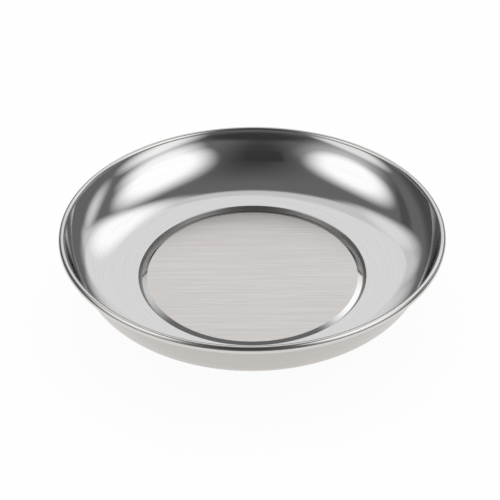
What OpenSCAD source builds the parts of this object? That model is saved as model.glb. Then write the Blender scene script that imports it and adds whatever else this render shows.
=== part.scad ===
// Round magnetic parts tray: a drawn stainless dish with a rolled rim and a shallow round well in a pressed groove,
// held on a magnet base that is bolted to a stud welded under the well and covered by a rubber boot.
// Millimetres. Z points up, and the origin is the middle of the boot's underside.

/* [Dish] */
// Outside diameter over the rolled rim
rim_d = 150; // [125:1:220]
// Depth from the top of the rim to the shelf's inner edge
dish_depth = 23.8; // [18:0.1:32]
// Thickness of the drawn sheet
sheet = 0.6; // [0.4:0.1:1]
// Lean of the wall at the rim, measured from the level
wall_lean = 75; // [70:1:80]
// Inside radius of the upper wall, seen in section
wall_r = 82; // [60:1:120]
// Inside radius of the bend from the wall into the bottom
heel_r = 10; // [6:0.5:14]
// Inside radius of the gently curved bottom, seen in section
bottom_r = 48; // [36:1:60]
// Slope at which the bottom runs into the heel, measured from the level
bottom_slope = 21; // [14:0.5:26]
// Diameter of the rolled rim's bead
bead_d = 2.7; // [2:0.1:4]
// How far round the rim is rolled
bead_sweep = 290; // [180:5:300]

/* [Well] */
// Width of the straight shelf between the curved bottom and the groove round the well
shelf_w = 3.65; // [2:0.05:8]
// Slope of the shelf, which falls towards the groove
shelf_slope = 6.5; // [3:0.5:10]
// Depth of the well's floor below the shelf's inner edge
well_step = 1.25; // [1:0.05:1.6]
// Depth of the groove below the shelf's inner edge
groove_depth = 2.2; // [2:0.1:3]
// Slope of the groove's outer side
groove_side = 62; // [50:1:70]
// Slope of the groove's inner side, which rises to the well's floor
groove_flank = 19; // [12:1:30]
// Inside radius of the bends at the groove's two top edges, on the sheet's underside
groove_edge_r = 0.3; // [0.2:0.1:0.5]
// Inside radius of the bend in the groove's bottom
groove_bend_r = 0.5; // [0.3:0.1:0.7]

/* [Magnet base] */
// Bore of the ring magnet
magnet_bore_d = 32; // [28:1:40]
// Height of the ring magnet
magnet_h = 8; // [7:0.5:12]
// Chamfer on the magnet's edges
magnet_chamfer = 0.5; // [0.4:0.1:1]
// How far the pole plate's edge stands out past the magnet
plate_overhang = 1; // [0.5:0.1:2]
// Thickness of the pole plate
plate_t = 1.2; // [0.8:0.1:2]
// Thickness of the foam pad between the dish and the pole plate
pad_t = 1; // [0.6:0.1:2]
// Width of the boot's lip that grips over the pole plate
lip_grip = 2.4; // [1:0.1:4]
// Free ring left in the middle of the foam pad round the stud's flange
pad_hole_gap = 1; // [0.5:0.1:3]

/* [Retainer] */
// Thickness of the dished retainer
retainer_t = 1; // [0.6:0.1:1.2]
// Width of the retainer's flange under the magnet
retainer_flange = 7; // [4:0.5:12]
// Outside radius of the bend at the top of the retainer's cup
retainer_bend_r = 1.6; // [1.4:0.1:2.4]
// Top radius of the bend from the cup into the flange
retainer_foot_r = 0.6; // [0.3:0.1:0.7]
// Room left between the retainer's cup and the pole plate, so that the nut pulls on the magnet
retainer_gap = 0.5; // [0.2:0.1:1]
// Play between the retainer's cup and the magnet's bore
retainer_play = 0.3; // [0.2:0.1:0.6]

/* [Fasteners] */
// Diameter of the stud's thread
stud_d = 5; // [4:0.5:6]
// How far the stud's welded flange stands out past the thread
stud_flange_w = 1; // [0.5:0.1:1.5]
// Thickness of the stud's welded flange
stud_flange_t = 0.6; // [0.4:0.1:0.6]
// How far the stud stands out past the nut
stud_proud = 0.6; // [0.3:0.1:1]
// Chamfer at the stud's end
stud_chamfer = 0.5; // [0.3:0.1:0.8]
// Outside diameter of the flat washer
washer_d = 10; // [9:0.5:14]
// Thickness of the flat washer
washer_t = 1; // [0.6:0.1:1.2]
// Outside diameter of the spring washer
spring_washer_d = 9.2; // [8.5:0.1:10]
// Thickness of the spring washer
spring_washer_t = 1.3; // [1:0.1:1.5]
// Width of the split in the spring washer
spring_split = 1; // [0.5:0.1:1.5]
// Width of the nut across its flats
nut_af = 8; // [7:0.5:10]
// Height of the nut
nut_h = 4; // [3:0.1:4]
// Play round the stud in the plates and the washers
stud_play = 0.25; // [0.1:0.05:0.4]
// Play of the nut's bore on the stud's thread
thread_play = 0.05; // [0.03:0.01:0.1]

/* [Boot] */
// How far the boot's side lies inside the edge of the well's floor
boot_inset = 0.4; // [0.3:0.1:12]
// Thickness of the boot's wall round the pole plate
boot_wall = 3.4; // [2:0.2:4]
// Thickness of the boot's floor
boot_floor = 2; // [1.5:0.1:4]
// Radius of the boot's bottom edge
boot_edge_r = 2.4; // [1:0.1:3]
// Radius of the boot's top edge
boot_top_r = 0.6; // [0.3:0.1:0.8]
// Play between the boot and what it wraps
boot_play = 0.1; // [0.05:0.05:0.3]
// Number of grip grooves in the boot's underside
grip_grooves = 3; // [1:1:4]
// Distance from one grip groove to the next
grip_pitch = 6; // [4:0.5:8]
// Distance from the boot's side to the outermost grip groove
grip_inset = 8.5; // [5:0.5:16]
// Radius of a grip groove's round section
grip_groove_r = 0.6; // [0.3:0.1:1]

/* [Hidden] */
$fn = 96;

// Largest turn between two points of an arc, in degrees
arc_step = 5;
// How far a cutting shape runs past the face that it cuts
overcut = 1;

// Levels of the stack, from the boot's underside up to the rim
z_magnet = boot_floor + retainer_t;
z_plate = z_magnet + magnet_h;
z_pad = z_plate + plate_t;
z_under = z_pad + pad_t;
z_floor = z_under + sheet;
z_shelf = z_floor + well_step;
z_rim = z_shelf + dish_depth;

// Levels of the nut and its washers, hung under the retainer's cup
z_cup = z_plate - retainer_gap;
z_washer = z_cup - retainer_t - washer_t;
z_spring = z_washer - spring_washer_t;
z_nut = z_spring - nut_h;
z_stud_end = z_nut - stud_proud;

// Rolled rim: centre of the bead, and the point where the wall runs into it
bead_r = bead_d / 2;
bead_c = [rim_d / 2 - bead_r, z_rim - bead_r];
wall_top = bead_c + bead_r * [-sin(wall_lean), cos(wall_lean)];
// Slope at which the wall gives way to the tighter heel, so that the whole section drops by the dish's depth
heel_slope = acos((dish_depth - bead_r * (1 - cos(wall_lean)) + wall_r * cos(wall_lean)
    - heel_r * cos(bottom_slope) - bottom_r * (cos(shelf_slope) - cos(bottom_slope))
    - shelf_w * tan(shelf_slope)) / (wall_r - heel_r));
// Centres of the three arcs that follow one another down from the bead: wall, heel and bottom
wall_c = wall_top - wall_r * down(wall_lean);
heel_c = wall_c + (wall_r - heel_r) * down(heel_slope);
bottom_c = heel_c + (heel_r - bottom_r) * down(bottom_slope);

// Corners of the groove round the well, before they are rounded
shelf_edge = bottom_c + bottom_r * down(shelf_slope) - shelf_w * [1, tan(shelf_slope)];
groove_foot = shelf_edge - groove_depth * [1 / tan(groove_side), 1];
floor_edge = groove_foot + (groove_depth - well_step) * [-1 / tan(groove_flank), 1];
edge_r = groove_edge_r + sheet;

// Radii of the stack, from the well's floor inwards
boot_r = floor_edge[0] - boot_inset;
plate_r = boot_r - boot_wall - boot_play;
magnet_r = plate_r - plate_overhang;
pad_r = plate_r - lip_grip - boot_play;
cup_r = magnet_bore_d / 2 - retainer_play;
stud_hole_r = stud_d / 2 + stud_play;
stud_flange_r = stud_d / 2 + stud_flange_w;

// Points of an arc about c from angle a to angle b
function arc(c, r, a, b) =
    let (steps = ceil(abs(b - a) / arc_step))
    [for (i = [0:steps]) c + r * [cos(a + (b - a) * i / steps), sin(a + (b - a) * i / steps)]];

// Direction from an arc's centre to the point where the arc has a slope
function down(slope) = [sin(slope), -cos(slope)];

// Points of a rounded corner p between headings a and b, at a depth below the inside face
function bend(p, a, b, r, depth) =
    let (side = sign(b - a), mid = (a + b) / 2)
    arc(p + side * r / cos((b - a) / 2) * [-sin(mid), cos(mid)], r + side * depth, a - 90 * side, b - 90 * side);

function reversed(points) = [for (i = [len(points) - 1:-1:0]) points[i]];

// Section of a sheet between its upper and its lower face, both drawn from the middle outwards
module sheet_section(upper, lower) {
    polygon(concat(upper, reversed(lower)));
}

// Half section of the dish's face, from the middle outwards, at a depth below the inside face
function dish_face(depth) = concat(
    [[0, z_floor - depth]],
    bend(floor_edge, 0, -groove_flank, edge_r, depth),
    bend(groove_foot, -groove_flank, groove_side, groove_bend_r, depth),
    bend(shelf_edge, groove_side, shelf_slope, edge_r, depth),
    arc(bottom_c, bottom_r + depth, -90 + shelf_slope, -90 + bottom_slope),
    arc(heel_c, heel_r + depth, -90 + bottom_slope, -90 + heel_slope),
    arc(wall_c, wall_r + depth, -90 + heel_slope, -90 + wall_lean),
    arc(bead_c, bead_r - depth, 90 + wall_lean, 90 + wall_lean - bead_sweep)
);

// Half section of the retainer's face, from the stud's hole outwards, at a depth below the upper face
function retainer_face(depth) = concat(
    [[stud_hole_r, z_cup - depth]],
    arc([cup_r - retainer_bend_r, z_cup - retainer_bend_r], retainer_bend_r - depth, 90, 0),
    arc([cup_r + retainer_foot_r, z_magnet + retainer_foot_r], retainer_foot_r + depth, 180, 270),
    [[cup_r + retainer_flange, z_magnet - depth]]
);

// Flat ring standing on a level
module ring(r, bore_r, h, z) {
    translate([0, 0, z])
        difference() {
            cylinder(r = r, h = h);
            translate([0, 0, -overcut])
                cylinder(r = bore_r, h = h + 2 * overcut);
        }
}

module dish() {
    color("silver")
        rotate_extrude()
            sheet_section(dish_face(0), dish_face(sheet));
}

module weld_stud() {
    thread_r = stud_d / 2;
    color("goldenrod")
        rotate_extrude()
            polygon([
                [0, z_stud_end], [thread_r - stud_chamfer, z_stud_end],
                [thread_r, z_stud_end + stud_chamfer], [thread_r, z_under - stud_flange_t],
                [stud_flange_r, z_under - stud_flange_t], [stud_flange_r, z_under],
                [0, z_under]
            ]);
}

module foam_pad() {
    color("dimgray")
        ring(pad_r, stud_flange_r + pad_hole_gap, pad_t, z_pad);
}

module pole_plate() {
    color("lightsteelblue")
        ring(plate_r, stud_hole_r, plate_t, z_plate);
}

module ring_magnet() {
    bore_r = magnet_bore_d / 2;
    c = magnet_chamfer;
    top = z_magnet + magnet_h;
    color("darkslategray")
        rotate_extrude()
            polygon([
                [bore_r + c, z_magnet], [magnet_r - c, z_magnet],
                [magnet_r, z_magnet + c], [magnet_r, top - c],
                [magnet_r - c, top], [bore_r + c, top],
                [bore_r, top - c], [bore_r, z_magnet + c]
            ]);
}

module magnet_retainer() {
    color("lightsteelblue")
        rotate_extrude()
            sheet_section(retainer_face(0), retainer_face(retainer_t));
}

module flat_washer() {
    color("gainsboro")
        ring(washer_d / 2, stud_hole_r, washer_t, z_washer);
}

module spring_washer() {
    color("slategray")
        difference() {
            ring(spring_washer_d / 2, stud_hole_r, spring_washer_t, z_spring);
            translate([0, -spring_split / 2, z_spring - overcut])
                cube([spring_washer_d, spring_split, spring_washer_t + 2 * overcut]);
        }
}

module hex_nut() {
    corner_r = nut_af / 2 / cos(30);
    flat_r = nut_af / 2;
    bevel = (corner_r - flat_r) * tan(30);
    color("gainsboro")
        difference() {
            intersection() {
                translate([0, 0, z_nut])
                    cylinder(r = corner_r, h = nut_h, $fn = 6);
                rotate_extrude()
                    polygon([
                        [0, z_nut], [flat_r, z_nut],
                        [corner_r, z_nut + bevel], [corner_r, z_nut + nut_h - bevel],
                        [flat_r, z_nut + nut_h], [0, z_nut + nut_h]
                    ]);
            }
            translate([0, 0, z_nut - overcut])
                cylinder(r = stud_d / 2 + thread_play, h = nut_h + 2 * overcut);
        }
}

module rubber_boot() {
    pocket_r = magnet_r + boot_play;
    groove_r = plate_r + boot_play;
    lip_r = plate_r - lip_grip;
    top = z_under - boot_play;
    color([0.09, 0.09, 0.1])
        rotate_extrude()
            difference() {
                polygon(concat(
                    [[0, 0]],
                    arc([boot_r - boot_edge_r, boot_edge_r], boot_edge_r, -90, 0),
                    arc([boot_r - boot_top_r, top - boot_top_r], boot_top_r, 0, 90),
                    [
                        [lip_r, top], [lip_r, z_pad + boot_play],
                        [groove_r, z_pad + boot_play], [groove_r, z_plate - boot_play],
                        [pocket_r, z_plate - boot_play], [pocket_r, boot_floor],
                        [0, boot_floor]
                    ]
                ));
                for (i = [0:grip_grooves - 1])
                    translate([boot_r - grip_inset - i * grip_pitch, 0])
                        circle(r = grip_groove_r);
            }
}

dish();
weld_stud();
foam_pad();
pole_plate();
ring_magnet();
magnet_retainer();
flat_washer();
spring_washer();
hex_nut();
rubber_boot();
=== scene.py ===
"""Looks of a round magnetic parts tray: a drawn stainless dish on a rubber-covered magnet base.

The dish is a fine turned mesh with a finish for each of its zones: brushed floor, buffed inside, a groove
side painted dark for the dark reflection in it, polished rim and satin outside. The other pieces keep
their solids and get their materials here. Metres, in the frame of the solids.
"""

import math

import bmesh
import bpy
from mathutils import Matrix, Vector


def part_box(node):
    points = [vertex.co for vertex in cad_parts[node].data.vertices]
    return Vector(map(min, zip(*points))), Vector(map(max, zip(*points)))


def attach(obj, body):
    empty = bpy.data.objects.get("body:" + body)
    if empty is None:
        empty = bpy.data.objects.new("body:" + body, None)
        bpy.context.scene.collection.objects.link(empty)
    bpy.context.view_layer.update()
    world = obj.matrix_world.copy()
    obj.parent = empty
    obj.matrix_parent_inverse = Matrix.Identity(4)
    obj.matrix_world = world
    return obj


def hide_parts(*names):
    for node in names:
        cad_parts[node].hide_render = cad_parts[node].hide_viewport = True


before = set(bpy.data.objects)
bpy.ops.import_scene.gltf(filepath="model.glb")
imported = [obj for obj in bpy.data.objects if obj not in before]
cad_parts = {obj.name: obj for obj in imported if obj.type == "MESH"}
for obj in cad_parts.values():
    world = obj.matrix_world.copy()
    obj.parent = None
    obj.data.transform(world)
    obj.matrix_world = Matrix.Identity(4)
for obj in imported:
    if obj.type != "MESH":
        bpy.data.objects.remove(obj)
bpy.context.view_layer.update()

MM = 0.001
WHITE = (1, 1, 1, 1)

# Dish, in section: the same sizes as its solid, with slopes in degrees
_, DISH_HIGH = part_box("dish")
RIM_R = DISH_HIGH.x
Z_RIM = DISH_HIGH.z
DISH_DEPTH = 23.8 * MM
SHEET = 0.6 * MM
WALL_LEAN = 75
WALL_R = 82 * MM
HEEL_R = 10 * MM
BOTTOM_R = 48 * MM
BOTTOM_SLOPE = 21
BEAD_R = 1.35 * MM
BEAD_SWEEP = 290
SHELF_W = 3.65 * MM
SHELF_SLOPE = 6.5
WELL_STEP = 1.25 * MM
GROOVE_DEPTH = 2.2 * MM
GROOVE_SIDE = 62
GROOVE_FLANK = 19
GROOVE_EDGE_R = 0.3 * MM + SHEET
GROOVE_BEND_R = 0.5 * MM
Z_SHELF = Z_RIM - DISH_DEPTH
Z_FLOOR = Z_SHELF - WELL_STEP

# Slope that the buffed inside shows, at the groove and at the rim: it mirrors the studio as one even bowl
GLOSS_SLOPE = (8.9, 60)
# Stretch beside the groove over which the first slope stays
GLOSS_LEVEL = 5.2 * MM
# Share by which the slope then rises more slowly at first than an even rise
GLOSS_SAG = 0.35
# Slopes that the groove's flank and side show
GLOSS_GROOVE = (-14, 54)
# Power of a bend's slope beside the groove's side: a higher one makes the bends look tighter
GLOSS_CREASE = 3
# Share of the groove's flank over which the floor's brushing runs, and the narrow step to the polish
BRUSHED_SHARE = 0.12
BRUSHED_SEAM = 0.008
# Share of the groove's upper bend finished as its side is: rough, and painted dark for the dark
# reflection in the groove
DARK_PAINTED_SHARE = 0.1
# Narrow step from the wall's normals to the bead's, in degrees of the wall's arc
BEAD_SEAM = 0.05

# Fineness of the turned mesh: steps round the axis, degrees of an arc, and length of a level stretch
TURN_STEPS = 288
ARC_STEP = 2.0
FLAT_STEP = 4 * MM
# Points nearer to each other than this are one
SAME_POINT = 1e-8
# Name of the dish's map, along which its floor is brushed
BRUSH_MAP = "plan"

# Noise values at which a pattern reaches its two ends
NOISE_SPAN = (0.3, 0.7)
# Sockets of a colour mix, by number because their names repeat
MIX_SHARE, MIX_DARK, MIX_LIGHT = 0, 6, 7
MIX_COLOUR = 2

# Camera of the photograph, about the middle of the rim's plane. The sensor is in millimetres
PICTURE = 500
FOCAL_PIXELS = 1000
SENSOR = 36
CAMERA_DISTANCE = 0.390795
CAMERA_ELEVATION = 34.653
CAMERA_ROLL = -0.478
CAMERA_NEAR = 0.01
RIM_CENTRE_PIXEL = (251.973, 220.424)
# Rounds in which the camera is turned until the rim's middle falls on that pixel
AIM_ROUNDS = 60

# Studio
ROOM_R = 3.0
ROOM_SEGMENTS = (96, 48)
# The room's sphere is cut off below this height
ROOM_FOOT = -0.01
FLOOR_R = 3.2
FLOOR_SEGMENTS = 96
FLOOR_COLOUR = (0.86, 0.86, 0.86, 1)
# Share of the floor's look that is plain white, where it is seen directly
FLOOR_WHITE = 0.95
# The floor lies this little below the boot, so that their faces don't coincide
FLOOR_GAP = 0.1 * MM
LAMP_SIZE = 1.6
LAMP_POWER = 17.0
LAMP_HEIGHT = 1.8
# Brightness of the unlit room
DIM_LEVEL = 0.175
# Lights, and the dark things before them, on planes one metre from the tray
BACK = (2, 0)
LIGHTS = {
    "left_softbox": {"facing": (-88, 54.5), "size": (0.43, 0.28), "fade": 0.46, "level": 1.48},
    "left_glow": {"facing": (-105, 46.5), "size": (0.36, 0.32), "fade": 0.98, "level": 0.78},
    "left_low": {"facing": (-115, 26.5), "size": (0.5, 0.13), "fade": 0.54, "level": 1.11},
    "right_softbox": {"facing": (91, 59), "size": (0.5, 0.29), "fade": 0.45, "level": 1.5},
    "right_glow": {"facing": (104, 49.5), "size": (0.43, 0.22), "fade": 0.6, "level": 1.36},
    "right_low": {"facing": (117, 31), "size": (0.45, 0.15), "fade": 0.8, "level": 1.3},
    "right_edge": {"facing": (54, 27.5), "size": (0.3, 0.1), "fade": 0.98, "level": 0.88},
    "back_panel": {"facing": BACK, "middle": (0.14, 1.06), "size": (0.74, 0.61), "square": 8,
                   "fade": 0.2, "level": 0.8},
    "back_middle": {"facing": BACK, "middle": (0.13, 0.88), "size": (0.62, 0.49),
                    "fade": 0.15, "level": 0.99},
    "back_foot": {"facing": BACK, "middle": (0.0, 0.46), "size": (0.34, 0.18),
                  "fade": 0.6, "level": 0.92},
    "back_right": {"facing": BACK, "middle": (0.46, 1.14), "size": (0.36, 0.59),
                   "fade": 0.64, "level": 1.47},
    "back_left": {"facing": BACK, "middle": (-0.53, 1.12), "size": (0.23, 0.55),
                  "fade": 0.7, "level": 1.02},
}
SHADOWS = {
    "camera": {"facing": (185, 72), "middle": (0.055, 0.02), "size": (0.125, 0.14), "square": 8,
               "fade": 0.12, "level": 0.9},
    "camera_side": {"facing": (188, 71), "size": (0.23, 0.49), "fade": 0.98, "level": 0.78},
    "front_edge": {"facing": (183, 41), "size": (0.52, 0.12), "fade": 0.73, "level": 0.95},
    "left_gap": {"facing": (-35, 36.5), "size": (0.61, 0.07), "fade": 0.4, "level": 0.44},
    "left_foot": {"facing": (-60, 6), "size": (0.9, 0.22), "fade": 0.5, "level": 0.5},
}
# Softness of the change from one light to another
LIGHT_BLEND = 0.08
# Depth ahead of the tray at which a light is fully there, and the least by which its plane is measured
LIGHT_AHEAD = 0.05
LEAST_DEPTH = 0.02


class Nodes:
    """Adds shader nodes to a tree, with values or links on their sockets."""

    def __init__(self, tree):
        self.tree = tree

    def put(self, socket, value):
        if isinstance(value, bpy.types.NodeSocket):
            self.tree.links.new(value, socket)
        else:
            socket.default_value = value

    def fill(self, made, values):
        for socket, value in zip(made.inputs, values):
            self.put(socket, value)

    def add(self, kind, settings=None, **inputs):
        made = self.tree.nodes.new("ShaderNode" + kind)
        for name, value in (settings or {}).items():
            setattr(made, name, value)
        for name, value in inputs.items():
            self.put(made.inputs[name.replace("_", " ")], value)
        return made

    def math(self, operation, *values):
        made = self.add("Math", {"operation": operation})
        self.fill(made, values)
        return made.outputs["Value"]

    def vector(self, operation, *values):
        made = self.add("VectorMath", {"operation": operation})
        self.fill(made, values)
        return made.outputs["Value" if operation in ("DOT_PRODUCT", "LENGTH") else "Vector"]

    def smooth(self, value, low, high, at_low=0.0, at_high=1.0):
        """Eases from at_low to at_high as value goes from low to high."""
        made = self.add("MapRange", {"interpolation_type": "SMOOTHSTEP"})
        for name, given in (("Value", value), ("From Min", low), ("From Max", high),
                            ("To Min", at_low), ("To Max", at_high)):
            self.put(made.inputs[name], given)
        return made.outputs["Result"]


def placed(name, data):
    """An object of some data, in the scene."""
    made = bpy.data.objects.new(name, data)
    bpy.context.scene.collection.objects.link(made)
    return made


def down(slope):
    """Direction from an arc's centre to the point where the arc has a slope."""
    angle = math.radians(slope)
    return Vector((math.sin(angle), -math.cos(angle)))


def arc(centre, radius, start, end, facing):
    """Points of an arc, each with its normal: facing is 1 away from the centre and -1 towards it."""
    steps = max(2, math.ceil(abs(end - start) / ARC_STEP))
    made = []
    for i in range(steps + 1):
        angle = math.radians(start + (end - start) * i / steps)
        out = Vector((math.cos(angle), math.sin(angle)))
        made.append((centre + radius * out, facing * out))
    return made


def bend(corner, before, after, radius, depth, facing):
    """Points of a rounded corner between two slopes, with their normals, at a depth below the inside."""
    side = math.copysign(1.0, after - before)
    middle = math.radians((before + after) / 2)
    reach = side * radius / math.cos(math.radians(after - before) / 2)
    centre = corner + reach * Vector((-math.sin(middle), math.cos(middle)))
    return arc(centre, radius + side * depth, before - 90 * side, after - 90 * side, -side * facing)


def flat(end, z, facing):
    """Points of the level stretch from the axis to its end, each with its normal."""
    steps = max(1, math.ceil(end / FLAT_STEP))
    return [(Vector((end * i / steps, z)), Vector((0.0, facing))) for i in range(steps + 1)]


def slope_of_heel(wall):
    """Slope at which the wall gives way to the heel, so that the section drops by the dish's depth."""
    def rise(slope):
        return math.cos(math.radians(slope))

    drop = wall.y - Z_SHELF - (HEEL_R - BOTTOM_R) * rise(BOTTOM_SLOPE) - BOTTOM_R * rise(SHELF_SLOPE)
    drop -= SHELF_W * math.tan(math.radians(SHELF_SLOPE))
    return math.degrees(math.acos(drop / (WALL_R - HEEL_R)))


def gloss(points):
    """Turns the normals of the buffed inside, from the groove to the rim, to those of one even bowl."""
    runs = [0.0]
    for before, after in zip(points, points[1:]):
        runs.append(runs[-1] + (after[0] - before[0]).length)
    low, high = GLOSS_SLOPE
    for (_, normal), run in zip(points, runs):
        share = max(0.0, (run - GLOSS_LEVEL) / (runs[-1] - GLOSS_LEVEL))
        normal[:] = -down(low + (high - low) * share * (1 - GLOSS_SAG * (1 - share)))


def gloss_groove(points, least):
    """Turns the normals of the groove to the slopes that it shows. least is the least slope of its side."""
    flank, side = GLOSS_GROOVE
    for _, normal in points:
        slope = math.degrees(math.atan2(-normal.x, normal.y))
        if slope < 0:
            shown = flank * slope / -GROOVE_FLANK
        else:
            shown = max(least, side * (slope / GROOVE_SIDE) ** GLOSS_CREASE)
        normal[:] = -down(shown)


def dish_section():
    """The dish's closed half section as zones of points, along the inside and back along the outside."""
    bead = Vector((RIM_R - BEAD_R, Z_RIM - BEAD_R))
    wall = bead - (BEAD_R + WALL_R) * down(WALL_LEAN)
    heel_slope = slope_of_heel(wall)
    heel = wall + (WALL_R - HEEL_R) * down(heel_slope)
    bottom = heel + (HEEL_R - BOTTOM_R) * down(BOTTOM_SLOPE)
    fall = math.tan(math.radians(SHELF_SLOPE))
    shelf_edge = bottom + BOTTOM_R * down(SHELF_SLOPE) - SHELF_W * Vector((1.0, fall))
    side_run = 1 / math.tan(math.radians(GROOVE_SIDE))
    groove_foot = shelf_edge - GROOVE_DEPTH * Vector((side_run, 1.0))
    flank_run = 1 / math.tan(math.radians(GROOVE_FLANK))
    floor_edge = groove_foot + (GROOVE_DEPTH - WELL_STEP) * Vector((-flank_run, 1.0))

    def face(depth, facing):
        """Zones of the sheet's one face, from the axis to the end of the bead's curl."""
        curl_start = 90 + WALL_LEAN
        wall_end = -90 + WALL_LEAN - BEAD_SEAM
        floor_bend = bend(floor_edge, 0, -GROOVE_FLANK, GROOVE_EDGE_R, depth, facing)
        foot_bend = bend(groove_foot, -GROOVE_FLANK, GROOVE_SIDE, GROOVE_BEND_R, depth, facing)
        shelf_bend = bend(shelf_edge, GROOVE_SIDE, SHELF_SLOPE, GROOVE_EDGE_R, depth, facing)
        dull = math.ceil(DARK_PAINTED_SHARE * len(shelf_bend))
        flank_top, (flank_foot, out) = floor_bend[-1][0], foot_bend[0]
        brush_end = flank_top.lerp(flank_foot, BRUSHED_SHARE)
        polish_start = flank_top.lerp(flank_foot, BRUSHED_SHARE + BRUSHED_SEAM)
        floor = flat(floor_bend[0][0].x, Z_FLOOR - depth, facing)
        return [
            ("floor", floor + floor_bend + [(brush_end, out.copy())]),
            ("flank", [(polish_start, out.copy())] + foot_bend[:1]),
            # Painted dark: the groove's side and the top of its upper bend, standing in for the groove's
            # dark reflection
            ("groove_side", foot_bend[1:] + shelf_bend[:dull]),
            ("shelf_edge", shelf_bend[dull:]),
            ("bottom", arc(bottom, BOTTOM_R + depth, -90 + SHELF_SLOPE, -90 + BOTTOM_SLOPE, -facing)
             + arc(heel, HEEL_R + depth, -90 + BOTTOM_SLOPE, -90 + heel_slope, -facing)),
            ("wall", arc(wall, WALL_R + depth, -90 + heel_slope, wall_end, -facing)),
            ("bead", arc(bead, BEAD_R - depth, curl_start, curl_start - BEAD_SWEEP, facing)),
        ]

    inside = face(0.0, 1.0)
    points_of = dict(inside)
    for _, normal in points_of["floor"]:
        normal[:] = (0.0, 1.0)
    gloss_groove(points_of["flank"] + points_of["groove_side"], 0.0)
    gloss_groove(points_of["shelf_edge"], GLOSS_SLOPE[0])
    gloss(points_of["shelf_edge"][-1:] + points_of["bottom"] + points_of["wall"])
    outside = [("outside", points[::-1]) for _, points in face(SHEET, -1.0)[::-1]]
    return inside + outside


def joined(zones):
    """The zones' points in one row, and the zone of each. Where two zones meet, the later normal holds."""
    points, zone_of = [], []
    for zone, stretch in zones:
        for place, normal in stretch:
            if points and (points[-1][0] - place).length < SAME_POINT:
                points[-1] = (points[-1][0], normal)
                continue
            points.append((place, normal))
            zone_of.append(zone)
    return points, zone_of


def spun(points):
    """Places and normals of a section's points turned about Z, and the numbers of each point's ring."""
    verts, normals, rings = [], [], []
    for (radius, z), (out, up) in points:
        if radius < SAME_POINT:
            rings.append([len(verts)] * TURN_STEPS)
            verts.append((0.0, 0.0, z))
            normals.append((0.0, 0.0, math.copysign(1.0, up)))
            continue
        rings.append(list(range(len(verts), len(verts) + TURN_STEPS)))
        for k in range(TURN_STEPS):
            angle = 2 * math.pi * k / TURN_STEPS
            verts.append((radius * math.cos(angle), radius * math.sin(angle), z))
            normals.append((out * math.cos(angle), out * math.sin(angle), up))
    return verts, normals, rings


def turned(name, zones, finishes):
    """Object of a section turned about Z, with its normals. finishes gives each zone's material."""
    points, zone_of = joined(zones)
    verts, normals, rings = spun(points)
    names = list(finishes)
    faces, slots = [], []
    for ring, following, zone in zip(rings, rings[1:], zone_of[1:]):
        for k in range(TURN_STEPS):
            j = (k + 1) % TURN_STEPS
            # At the axis two of the corners are one, so it is kept once
            corners = dict.fromkeys([ring[k], ring[j], following[j], following[k]])
            faces.append(list(corners)[::-1])
            slots.append(names.index(zone))
    mesh = bpy.data.meshes.new(name)
    mesh.from_pydata(verts, [], faces)
    for finish in finishes.values():
        mesh.materials.append(finish)
    mesh.polygons.foreach_set("material_index", slots)
    mesh.polygons.foreach_set("use_smooth", [True] * len(faces))
    plan = mesh.uv_layers.new(name=BRUSH_MAP)
    for loop in mesh.loops:
        x, y, _ = verts[loop.vertex_index]
        plan.data[loop.index].uv = (0.5 + y / (2 * RIM_R), 0.5 + x / (2 * RIM_R))
    mesh.update()
    mesh.normals_split_custom_set_from_vertices(normals)
    return placed(name, mesh)


def material(name):
    """A new node material, its node helper and its surface socket."""
    made = bpy.data.materials.new(name)
    made.use_nodes = True
    made.node_tree.nodes.clear()
    nodes = Nodes(made.node_tree)
    output = nodes.add("OutputMaterial")
    return made, nodes, output.inputs["Surface"]


def own_place(nodes):
    """Each point's place in its object's own frame."""
    return nodes.add("TexCoord").outputs["Object"]


def grain(nodes, scale, detail):
    """Even noise."""
    noise = nodes.add("TexNoise", Vector=own_place(nodes), Scale=scale, Detail=detail, Roughness=0.6)
    return noise.outputs["Fac"]


def polar_noise(nodes, ring_scale, turn_scale):
    """Noise drawn out round the axis, as turning and polishing leave it."""
    place = own_place(nodes)
    level = nodes.vector("MULTIPLY", place, (1.0, 1.0, 0.0))
    around = nodes.vector("MULTIPLY", nodes.vector("NORMALIZE", level), (turn_scale, turn_scale, 0.0))
    height = nodes.add("SeparateXYZ", Vector=place).outputs["Z"]
    run = nodes.math("ADD", nodes.vector("LENGTH", level), height)
    along = nodes.add("CombineXYZ", Z=nodes.math("MULTIPLY", run, ring_scale)).outputs["Vector"]
    drawn = nodes.vector("ADD", around, along)
    return nodes.add("TexNoise", Vector=drawn, Scale=1.0, Detail=3.0, Roughness=0.6).outputs["Fac"]


def brush_noise(nodes, along_scale, across_scale, detail=3.0):
    """Noise drawn out along X, as a brushing belt leaves it."""
    drawn = nodes.vector("MULTIPLY", own_place(nodes), (along_scale, across_scale, across_scale))
    return nodes.add("TexNoise", Vector=drawn, Scale=1.0, Detail=detail, Roughness=0.65).outputs["Fac"]


def shade(colour, amount):
    """A colour made darker or lighter by an amount."""
    return tuple(amount * part for part in colour)


def between(nodes, noise, dark, light, span=NOISE_SPAN):
    """Colour that goes from dark to light as the noise goes over a span."""
    tint = nodes.add("Mix", {"data_type": "RGBA"})
    nodes.put(tint.inputs[MIX_SHARE], nodes.smooth(noise, *span))
    nodes.put(tint.inputs[MIX_DARK], (*dark, 1))
    nodes.put(tint.inputs[MIX_LIGHT], (*light, 1))
    return tint.outputs[MIX_COLOUR]


def tinted(nodes, noise, colour, darkest, lightest, span=NOISE_SPAN):
    """Colour that the noise makes darker and lighter by amounts."""
    return between(nodes, noise, shade(colour, darkest), shade(colour, lightest), span)


def spread(nodes, noise, value, by):
    """A value that the noise varies by a share."""
    return nodes.smooth(noise, *NOISE_SPAN, value * (1 - by), value * (1 + by))


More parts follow.
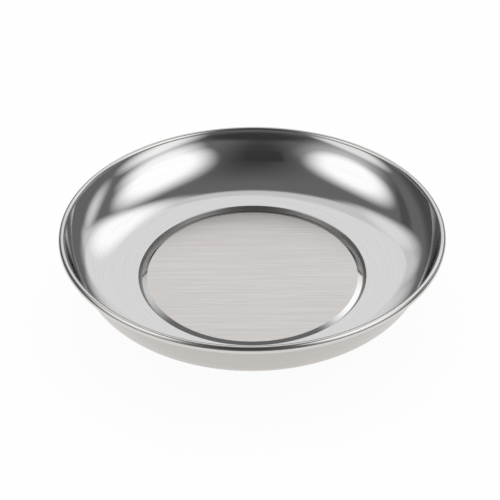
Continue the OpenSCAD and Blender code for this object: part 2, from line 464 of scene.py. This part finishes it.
def surface_of(nodes, surface, colour, roughness, height, strength, depth, metal=1.0, **inputs):
    """Puts a shader with a bump on a material. Returns the shader."""
    bump = nodes.add("Bump", Strength=strength, Distance=depth, Height=height)
    shader = nodes.add("BsdfPrincipled", Base_Color=colour, Metallic=metal, Roughness=roughness, **inputs)
    nodes.put(shader.inputs["Normal"], bump.outputs["Normal"])
    nodes.put(surface, shader.outputs["BSDF"])
    return shader


def polished(name, colour, roughness, streak):
    """Buffed steel, with faint streaks round the axis."""
    made, nodes, surface = material(name)
    fine = polar_noise(nodes, ring_scale=2600.0, turn_scale=2.2)
    rough = spread(nodes, fine, roughness, by=streak)
    streaks = polar_noise(nodes, ring_scale=1900.0, turn_scale=2.5)
    tint = tinted(nodes, streaks, colour, darkest=0.98, lightest=1.02)
    haze = nodes.smooth(streaks, *NOISE_SPAN, at_low=0.975, at_high=1.0)
    surface_of(nodes, surface, tint, rough, fine, strength=0.03, depth=0.05 * MM, metal=haze)
    return made


def brushed(name, dark, light, roughness):
    """Steel brushed along X."""
    made, nodes, surface = material(name)
    lines = brush_noise(nodes, along_scale=30.0, across_scale=2800.0, detail=4.0)
    patches = brush_noise(nodes, along_scale=30.0, across_scale=400.0, detail=2.0)
    line_share, patch_share = 0.85, 0.15
    mixed = nodes.math("MULTIPLY_ADD", patches, patch_share, nodes.math("MULTIPLY", lines, line_share))
    tint = between(nodes, mixed, dark, light)
    shader = surface_of(nodes, surface, tint, roughness, lines, strength=0.05, depth=0.03 * MM, metal=0.75,
                        Anisotropic=0.7)
    tangent = nodes.add("Tangent", {"direction_type": "UV_MAP", "uv_map": BRUSH_MAP})
    nodes.put(shader.inputs["Tangent"], tangent.outputs["Tangent"])
    return made


def satin(name, dark, light, roughness):
    """Steel with a dull turned finish."""
    made, nodes, surface = material(name)
    lines = polar_noise(nodes, ring_scale=2600.0, turn_scale=3.0)
    tint = between(nodes, lines, dark, light)
    surface_of(nodes, surface, tint, roughness, lines, strength=0.05, depth=0.04 * MM)
    return made


def plated(name, colour, roughness):
    """Zinc plating: cloudy, over the steel's rolling lines."""
    made, nodes, surface = material(name)
    clouds = grain(nodes, scale=260.0, detail=4.0)
    lines = brush_noise(nodes, along_scale=60.0, across_scale=1800.0)
    tint = tinted(nodes, clouds, colour, darkest=0.86, lightest=1.08)
    rough = spread(nodes, clouds, roughness, by=0.25)
    surface_of(nodes, surface, tint, rough, lines, strength=0.06, depth=0.03 * MM)
    return made


def copper_flashed(name, colour, roughness):
    """Thin bright copper on a turned stud, browned in patches."""
    made, nodes, surface = material(name)
    patches = grain(nodes, scale=420.0, detail=4.0)
    lines = polar_noise(nodes, ring_scale=3000.0, turn_scale=2.0)
    tint = tinted(nodes, patches, colour, darkest=0.62, lightest=1.0, span=(0.35, 0.65))
    rough = spread(nodes, patches, roughness, by=0.3)
    surface_of(nodes, surface, tint, rough, lines, strength=0.08, depth=0.03 * MM)
    return made


def phosphated(name, colour, roughness):
    """Spring steel under a dark coat of fine crystals."""
    made, nodes, surface = material(name)
    crystals = grain(nodes, scale=2600.0, detail=5.0)
    tint = tinted(nodes, crystals, colour, darkest=0.75, lightest=1.2, span=(0.35, 0.65))
    rough = spread(nodes, crystals, roughness, by=0.2)
    surface_of(nodes, surface, tint, rough, crystals, strength=0.15, depth=0.05 * MM)
    return made


def sintered(name, colour, roughness):
    """Ferrite ground on its faces: dull, with grinding lines and a few pale specks."""
    made, nodes, surface = material(name)
    lines = brush_noise(nodes, along_scale=80.0, across_scale=1500.0)
    specks = grain(nodes, scale=2600.0, detail=1.0)
    tint = tinted(nodes, specks, colour, darkest=0.9, lightest=2.2, span=(0.62, 0.72))
    rough = spread(nodes, lines, roughness, by=0.15)
    surface_of(nodes, surface, tint, rough, lines, strength=0.1, depth=0.04 * MM, metal=0.0)
    return made


def cellular(name, colour, roughness):
    """Foam: small round cells with thin paler walls."""
    made, nodes, surface = material(name)
    cells = nodes.add("TexVoronoi", Vector=own_place(nodes), Scale=1500.0).outputs["Distance"]
    tint = tinted(nodes, cells, colour, darkest=0.6, lightest=1.3, span=(0.1, 0.6))
    surface_of(nodes, surface, tint, roughness, cells, strength=0.6, depth=0.2 * MM, metal=0.0)
    return made


def moulded(name, colour, roughness):
    """Rubber from a blasted mould: a fine even grain, greyed in places."""
    made, nodes, surface = material(name)
    fine = grain(nodes, scale=3200.0, detail=2.0)
    wear = grain(nodes, scale=140.0, detail=4.0)
    tint = tinted(nodes, wear, colour, darkest=0.85, lightest=1.5, span=(0.35, 0.7))
    rough = spread(nodes, wear, roughness, by=0.1)
    surface_of(nodes, surface, tint, rough, fine, strength=0.25, depth=0.1 * MM, metal=0.0)
    return made


def dress(made, *names):
    """Gives nodes of the solids their material."""
    for name in names:
        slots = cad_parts[name].data.materials
        slots.clear()
        slots.append(made)


def make_camera():
    """The photograph's camera: the rim's middle falls on its pixel, and the picture is rolled as it was."""
    target = Vector((0.0, 0.0, Z_RIM))
    elevation = math.radians(CAMERA_ELEVATION)
    place = target + CAMERA_DISTANCE * Vector((0.0, -math.cos(elevation), math.sin(elevation)))
    sight = (target - place).normalized()
    roll = math.radians(CAMERA_ROLL)
    off_x, off_y = ((pixel - PICTURE / 2) / FOCAL_PIXELS for pixel in RIM_CENTRE_PIXEL)
    yaw, pitch = 0.0, -elevation
    for _ in range(AIM_ROUNDS):
        level = math.cos(pitch)
        ahead = Vector((math.sin(yaw) * level, math.cos(yaw) * level, math.sin(pitch)))
        level_right = Vector((math.cos(yaw), -math.sin(yaw), 0.0))
        level_up = level_right.cross(ahead)
        right = level_right * math.cos(roll) + level_up * math.sin(roll)
        up = level_up * math.cos(roll) - level_right * math.sin(roll)
        depth = sight.dot(ahead)
        yaw += sight.dot(right) / depth - off_x
        pitch -= -sight.dot(up) / depth - off_y
    data = bpy.data.cameras.new("camera")
    data.sensor_width = SENSOR
    data.lens = FOCAL_PIXELS * SENSOR / PICTURE
    data.clip_start = CAMERA_NEAR
    camera = placed("camera", data)
    camera.matrix_world = Matrix.Translation(place) @ Matrix((right, up, -ahead)).transposed().to_4x4()
    bpy.context.scene.camera = camera


def panel(nodes, sight, facing, size, fade, level, middle=(0.0, 0.0), square=2):
    """Soft-edged panel before the tray, as its brightness in each direction.

    facing is the bearing and the height, in degrees, at which the tray sees the panel's plane: 0 is the
    back and 90 the right. middle and size are the panel's place and half sizes on that plane, one metre
    away. fade is how far its edge spreads, as a share of its size, and level is its brightness. square is
    2 for an oval, and more for a squarer outline.
    """
    bearing, height = (math.radians(angle) for angle in facing)
    level_out = Vector((math.sin(bearing), math.cos(bearing), 0.0))
    right = Vector((math.cos(bearing), -math.sin(bearing), 0.0))
    out = level_out * math.cos(height) + Vector((0.0, 0.0, math.sin(height)))
    up = right.cross(out)
    ahead = nodes.vector("DOT_PRODUCT", sight, out)
    depth = nodes.math("MAXIMUM", ahead, LEAST_DEPTH)
    shares = []
    for axis, place, half in zip((right, up), middle, size):
        along = nodes.math("DIVIDE", nodes.vector("DOT_PRODUCT", sight, axis), depth)
        share = nodes.math("DIVIDE", nodes.math("SUBTRACT", along, place), half)
        shares.append(nodes.math("POWER", nodes.math("ABSOLUTE", share), square))
    reach = nodes.math("POWER", nodes.math("ADD", *shares), 1 / square)
    before = nodes.smooth(ahead, 0.0, LIGHT_AHEAD)
    return nodes.math("MULTIPLY", before, nodes.smooth(reach, 1 - fade, 1 + fade, level, 0.0))


def stage_mesh(name, shape, finish):
    """Mesh of a finished bmesh, with its material."""
    mesh = bpy.data.meshes.new(name)
    shape.to_mesh(mesh)
    shape.free()
    mesh.materials.append(finish)
    return mesh


def make_room():
    """The studio round the tray: panels behind, softboxes over both sides, and a dim ceiling and front."""
    made, nodes, surface = material("studio_light")
    place = nodes.add("NewGeometry").outputs["Position"]
    sight = nodes.vector("NORMALIZE", nodes.vector("SUBTRACT", place, (0.0, 0.0, Z_SHELF)))
    total = DIM_LEVEL
    for given in SHADOWS.values():
        total = nodes.math("MULTIPLY", total, nodes.math("SUBTRACT", 1.0, panel(nodes, sight, **given)))
    for given in LIGHTS.values():
        total = nodes.math("SMOOTH_MAX", total, panel(nodes, sight, **given), LIGHT_BLEND)
    glow = nodes.add("Emission", Color=WHITE, Strength=total)
    nodes.put(surface, glow.outputs["Emission"])
    around, upward = ROOM_SEGMENTS
    shape = bmesh.new()
    bmesh.ops.create_uvsphere(shape, u_segments=around, v_segments=upward, radius=ROOM_R)
    below = [vert for vert in shape.verts if vert.co.z < ROOM_FOOT]
    bmesh.ops.delete(shape, geom=below, context="VERTS")
    room = placed("studio_room", stage_mesh("studio_room", shape, made))
    room.visible_camera = False


def seen_directly(nodes):
    """1 for camera, glossy and transmission rays, which show the white background, and 0 for others."""
    path = nodes.add("LightPath").outputs
    either = nodes.math("MAXIMUM", path["Is Camera Ray"], path["Is Glossy Ray"])
    return nodes.math("MAXIMUM", either, path["Is Transmission Ray"])


def blend(nodes, share, first, second):
    """Shader that goes from the first to the second with a share."""
    made = nodes.add("MixShader")
    nodes.fill(made, (share, first, second))
    return made.outputs["Shader"]


def make_floor():
    """The table: almost plain white where it is seen directly, and matt for the light it throws back."""
    made, nodes, surface = material("pale_floor")
    matt = nodes.add("BsdfDiffuse", Color=FLOOR_COLOUR).outputs["BSDF"]
    glow = nodes.add("Emission", Color=WHITE, Strength=1.0).outputs["Emission"]
    white = blend(nodes, FLOOR_WHITE, matt, glow)
    nodes.put(surface, blend(nodes, seen_directly(nodes), matt, white))
    shape = bmesh.new()
    bmesh.ops.create_circle(shape, cap_ends=True, segments=FLOOR_SEGMENTS, radius=FLOOR_R)
    floor = placed("floor", stage_mesh("floor", shape, made))
    floor.location.z = -FLOOR_GAP


def make_world():
    """A white background that throws no light on matt pieces."""
    world = bpy.data.worlds.new("white_background")
    world.use_nodes = True
    world.node_tree.nodes.clear()
    nodes = Nodes(world.node_tree)
    output = nodes.add("OutputWorld")
    back = nodes.add("Background", Color=WHITE, Strength=seen_directly(nodes))
    nodes.put(output.inputs["Surface"], back.outputs["Background"])
    bpy.context.scene.world = world


def make_lamp():
    """A wide lamp overhead for the matt pieces and the floor."""
    data = bpy.data.lights.new("overhead", "AREA")
    data.shape = "DISK"
    data.size = LAMP_SIZE
    data.energy = LAMP_POWER
    lamp = placed("overhead", data)
    lamp.location = (0.0, 0.0, LAMP_HEIGHT)
    lamp.visible_glossy = False
    lamp.visible_camera = False


make_camera()
make_world()
make_room()
make_floor()
make_lamp()
bpy.context.scene.view_settings.view_transform = "Standard"

buffed = polished("polished_steel", colour=(0.66, 0.66, 0.66), roughness=0.06, streak=0.3)
finishes = {
    "floor": brushed("brushed_steel", dark=(0.59, 0.564, 0.548), light=(0.69, 0.663, 0.646), roughness=0.2),
    "flank": buffed,
    # The groove's side gets a painted dark colour for the dark reflection in the groove, not a darker steel
    "groove_side": satin("groove_painted_dark", dark=(0.28, 0.274, 0.268), light=(0.35, 0.342, 0.335),
                         roughness=0.4),
    "shelf_edge": buffed,
    "bottom": buffed,
    "wall": buffed,
    "bead": polished("polished_rim", colour=(0.65, 0.635, 0.62), roughness=0.12, streak=0.2),
    "outside": satin("satin_steel", dark=(0.50, 0.474, 0.451), light=(0.553, 0.525, 0.501), roughness=0.28),
}
dish = turned("dish_shell", dish_section(), finishes)
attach(dish, "root")
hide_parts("dish")

dress(copper_flashed("copper_flash", colour=(0.72, 0.45, 0.3), roughness=0.35), "weld_stud")
dress(cellular("foam", colour=(0.16, 0.16, 0.17), roughness=0.92), "foam_pad")
dress(plated("zinc_plate", colour=(0.66, 0.68, 0.71), roughness=0.3),
      "pole_plate", "magnet_retainer", "flat_washer", "hex_nut")
dress(sintered("ferrite", colour=(0.1, 0.1, 0.11), roughness=0.6), "ring_magnet")
dress(phosphated("spring_steel", colour=(0.3, 0.3, 0.32), roughness=0.55), "spring_washer")
dress(moulded("rubber", colour=(0.03, 0.03, 0.032), roughness=0.62), "rubber_boot")
